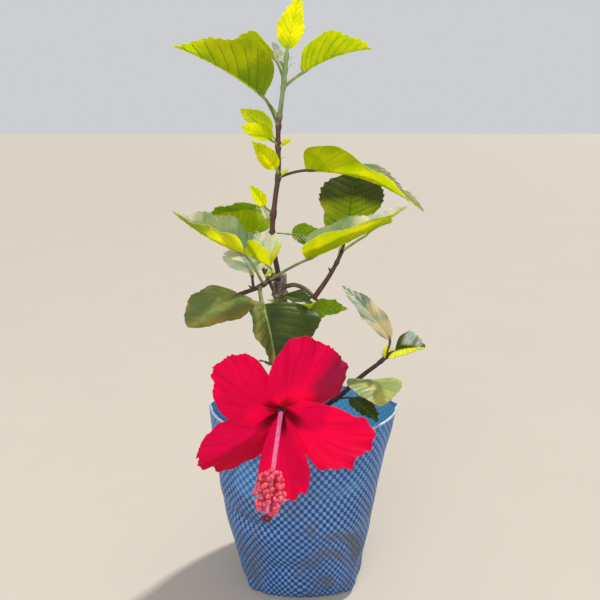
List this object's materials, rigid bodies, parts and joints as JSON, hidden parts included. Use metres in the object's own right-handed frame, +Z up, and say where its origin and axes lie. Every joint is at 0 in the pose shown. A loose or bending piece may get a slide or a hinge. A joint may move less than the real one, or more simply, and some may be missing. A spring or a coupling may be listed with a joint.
{
  "type": "potted hibiscus shrub",
  "caption": "Young hibiscus shrub standing in a woven grow bag, with an upright leader, serrated leaves and a wide nodding bloom.",
  "frame": {"origin": "centre of the grow bag's flat underside, on the surface it stands on", "axes": "+Z up along the stem; -Y towards the side the bloom faces; +X to the right seen from that side"},
  "size_m": [0.1896, 0.2591, 0.472],
  "materials": {
    "bag": "satin",
    "soil": "matte",
    "bark": "matte",
    "green_bark": "satin",
    "red_bark": "satin",
    "young_leaf": "satin",
    "leaf": "satin",
    "old_leaf": "satin",
    "petal": "satin",
    "column": "matte"
  },
  "bodies": {
    "root": {"bloom_column": "column", "bloom_petals": "petal", "bloom_stalk": "green_bark", "bough_back": "bark", "bough_left": "red_bark", "bough_low_right": "red_bark", "bough_right": "green_bark", "bough_right_upright": "red_bark", "grow_bag": "bag", "leader": "green_bark", "leaf_back": "leaf", "leaf_back_left": "leaf", "leaf_back_low_left": "leaf", "leaf_back_low_right": "leaf", "leaf_back_right": "leaf", "leaf_back_top": "young_leaf", "leaf_back_upright": "leaf", "leaf_behind_right": "leaf", "leaf_drooping_left": "old_leaf", "leaf_front_right": "old_leaf", "leaf_glossy_right": "old_leaf", "leaf_grey_right": "old_leaf", "leaf_hanging_front": "old_leaf", "leaf_heart_right": "leaf", "leaf_left": "young_leaf", "leaf_left_front": "young_leaf", "leaf_left_pale": "old_leaf", "leaf_long_right": "leaf", "leaf_low_right": "old_leaf", "leaf_lower_right": "leaf", "leaf_middle_left": "leaf", "leaf_narrow_left": "young_leaf", "leaf_round_right": "old_leaf", "leaf_small_front_right": "leaf", "leaf_small_right": "leaf", "leaf_top": "young_leaf", "leaf_upper_left": "young_leaf", "leaf_upper_left_back": "young_leaf", "leaf_upper_right": "young_leaf", "leaf_young_left": "young_leaf", "leaf_young_left_front": "young_leaf", "leaf_young_middle": "young_leaf", "potting_soil": "soil", "trunk": "bark", "twig_left": "red_bark"}
  },
  "joints": []
}
